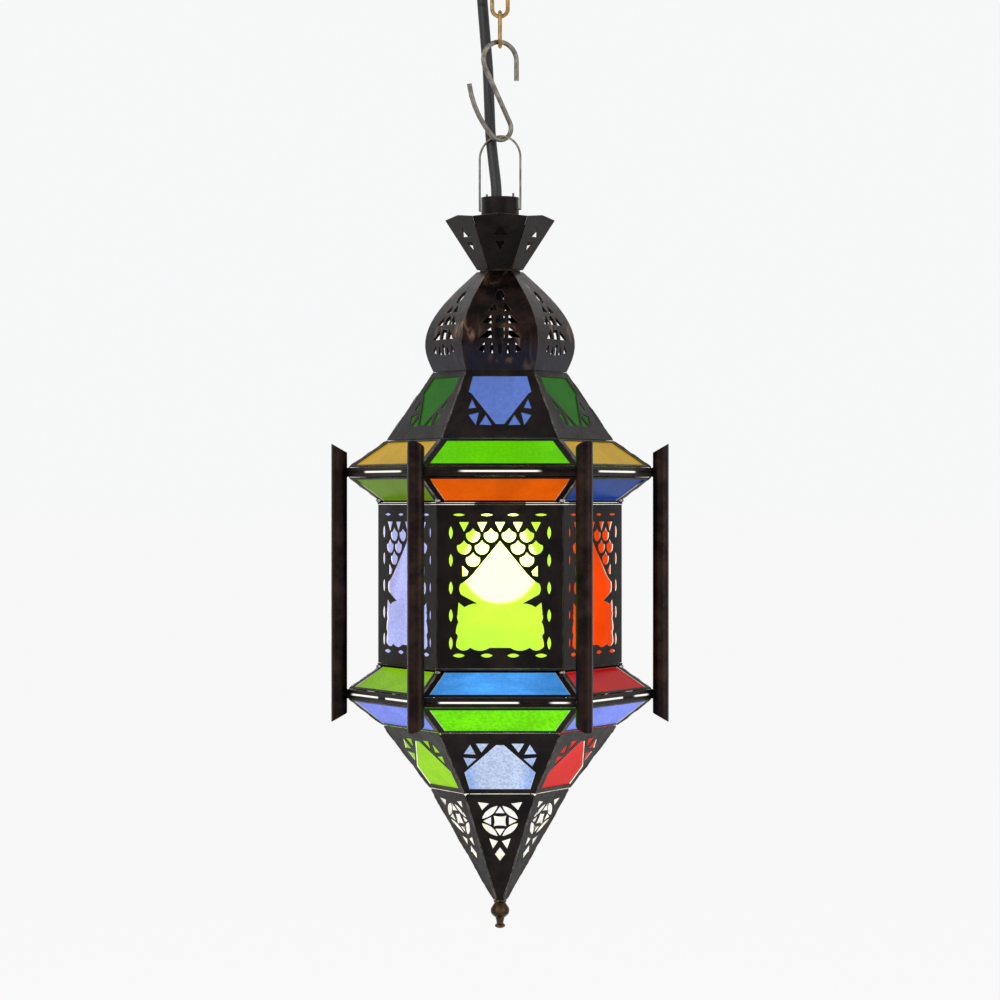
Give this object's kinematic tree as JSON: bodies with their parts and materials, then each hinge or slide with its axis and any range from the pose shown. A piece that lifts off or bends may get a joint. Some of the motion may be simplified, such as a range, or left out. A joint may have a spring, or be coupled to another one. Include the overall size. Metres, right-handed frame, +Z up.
{
  "type": "hexagonal hanging fanous lantern",
  "caption": "Hexagonal pierced tin and coloured glass fanous lantern that hangs by a wire bail, S-hook and chain from a ceiling canopy, with a bulb inside and a hinged door.",
  "frame": {"origin": "on the hanging axis at the ceiling, at the middle of the ceiling plate's screw holes", "axes": "+Z up, -Y out of the front facet, +X to the right as the front is seen"},
  "size_m": [0.2498, 0.218, 0.826],
  "materials": {
    "zinc_plate": "zinc plated",
    "canopy_metal": "satin black",
    "black_rubber": "matte",
    "aged_brass": "aged",
    "steel_wire": "drawn wire, slightly dulled",
    "black_flex": "satin sleeve",
    "collar_tin": "soldered bright tin, dulled",
    "patina_tin": "dark patinated tin with soldered seams",
    "copper_tin": "dark tin with a copper-brown patina",
    "post_tin": "soldered tin",
    "finial_metal": "dark aged brass",
    "holder_plastic": "moulded",
    "cap_aluminium": "bright",
    "bulb_glass": "warm, frosted",
    "glass_violet": "clear sheet glass",
    "glass_forest": "clear sheet glass",
    "glass_green": "clear sheet glass",
    "glass_amber": "clear sheet glass",
    "glass_red": "clear sheet glass",
    "glass_blue": "rippled sheet glass",
    "glass_olive": "rippled sheet glass",
    "glass_lime": "clear sheet glass",
    "glass_lavender": "clear sheet glass",
    "glass_sky": "grainy cathedral glass",
    "glass_crimson": "rippled sheet glass",
    "glass_navy": "clear sheet glass",
    "glass_moss": "clear sheet glass",
    "glass_wisteria": "grainy sheet glass"
  },
  "bodies": {
    "ceiling": {"ceiling_plate": "zinc_plate", "canopy": "canopy_metal", "ceiling_hook": "canopy_metal", "canopy_cord_grip": "black_rubber", "flex": "black_flex"},
    "link_upper": {"link_upper": "aged_brass"},
    "link_lower": {"link_lower": "aged_brass"},
    "s_hook": {"s_hook": "steel_wire"},
    "bail": {"bail": "steel_wire"},
    "lantern": {"collar": "collar_tin", "collar_cord_grip": "black_rubber", "crown": "patina_tin", "dome": "copper_tin", "roof_frames": "patina_tin", "upper_eave": "patina_tin", "upper_belt": "patina_tin", "upper_skirt": "patina_tin", "upper_rim": "patina_tin", "panel_front": "patina_tin", "panel_front_right": "patina_tin", "panel_back_right": "patina_tin", "panel_back_left": "patina_tin", "panel_front_left": "patina_tin", "corner_posts": "post_tin", "lower_rim": "patina_tin", "lower_flare": "patina_tin", "lower_belt": "patina_tin", "lower_skirt": "patina_tin", "pendant_frames": "patina_tin", "cone": "patina_tin", "finial": "finial_metal", "wings": "copper_tin", "lamp_bracket": "post_tin", "lamp_holder": "holder_plastic", "holder_nut": "holder_plastic", "bulb_cap": "cap_aluminium", "bulb_glass": "bulb_glass", "inner_flex": "black_flex", "door_hinge_pins": "post_tin", "roof_glass_violet": "glass_violet", "roof_glass_green": "glass_forest", "eave_glass_green": "glass_green", "eave_glass_amber": "glass_amber", "skirt_glass_red": "glass_red", "skirt_glass_blue": "glass_navy", "skirt_glass_olive": "glass_moss", "panel_glass_lime": "glass_lime", "panel_glass_red": "glass_red", "panel_glass_lavender": "glass_lavender", "flare_glass_blue": "glass_blue", "flare_glass_red": "glass_crimson", "flare_glass_olive": "glass_olive", "lower_glass_green": "glass_green", "lower_glass_violet": "glass_wisteria", "pendant_glass_blue": "glass_sky", "pendant_glass_red": "glass_crimson", "pendant_glass_lime": "glass_lime"},
    "door": {"door_panel": "patina_tin", "door_glass": "glass_lime", "door_knob": "finial_metal"}
  },
  "joints": [
    {"name": "link_upper_swing", "type": "hinge", "parent": "ceiling", "child": "link_upper", "pos_m": [0, 0, -0.13], "axis": [0, 1, 0], "range_deg": [-20, 20], "deforming": ["flex"]},
    {"name": "link_lower_swing", "type": "hinge", "parent": "link_upper", "child": "link_lower", "pos_m": [0, 0, -0.15175], "axis": [1, 0, 0], "range_deg": [-20, 20], "deforming": ["flex"]},
    {"name": "s_hook_swing", "type": "hinge", "parent": "link_lower", "child": "s_hook", "pos_m": [0, 0, -0.174], "axis": [0, 1, 0], "range_deg": [-20, 20], "deforming": ["flex"]},
    {"name": "bail_swing", "type": "hinge", "parent": "s_hook", "child": "bail", "pos_m": [0, 0, -0.24305], "axis": [0.9063, 0.4226, 0], "range_deg": [-20, 20], "deforming": ["flex"]},
    {"name": "lantern_tilt", "type": "hinge", "parent": "bail", "child": "lantern", "pos_m": [0, 0, -0.2948], "axis": [0.9063, -0.4226, 0], "range_deg": [-20, 20], "deforming": ["flex"]},
    {"name": "door_hinge", "type": "hinge", "parent": "lantern", "child": "door", "pos_m": [-0.04395, 0.0799, -0.5713], "axis": [0, 0, 1], "range_deg": [0, 95]}
  ]
}
